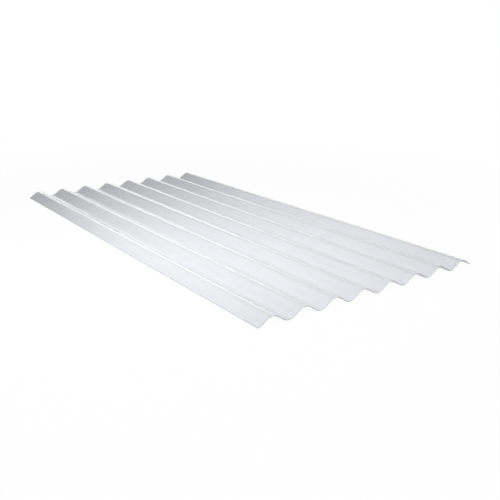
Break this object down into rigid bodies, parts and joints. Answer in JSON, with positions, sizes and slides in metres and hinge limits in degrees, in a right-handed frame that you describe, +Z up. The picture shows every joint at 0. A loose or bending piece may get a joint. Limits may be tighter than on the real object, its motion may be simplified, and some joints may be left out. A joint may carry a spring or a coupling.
{
  "type": "corrugated roofing sheet",
  "caption": "Translucent plastic roofing sheet with rounded waves running along its length, for canopies, sheds and roof lights.",
  "frame": {"origin": "middle of the sheet in plan, on the level plane that its valleys rest on", "axes": "+X across the waves, +Y along the waves and the sheet's length, +Z up, out of the weather side"},
  "size_m": [1.016, 2, 0.03],
  "materials": {
    "translucent_plastic": "gloss"
  },
  "bodies": {
    "root": {"corrugated_sheet": "translucent_plastic"}
  },
  "joints": []
}
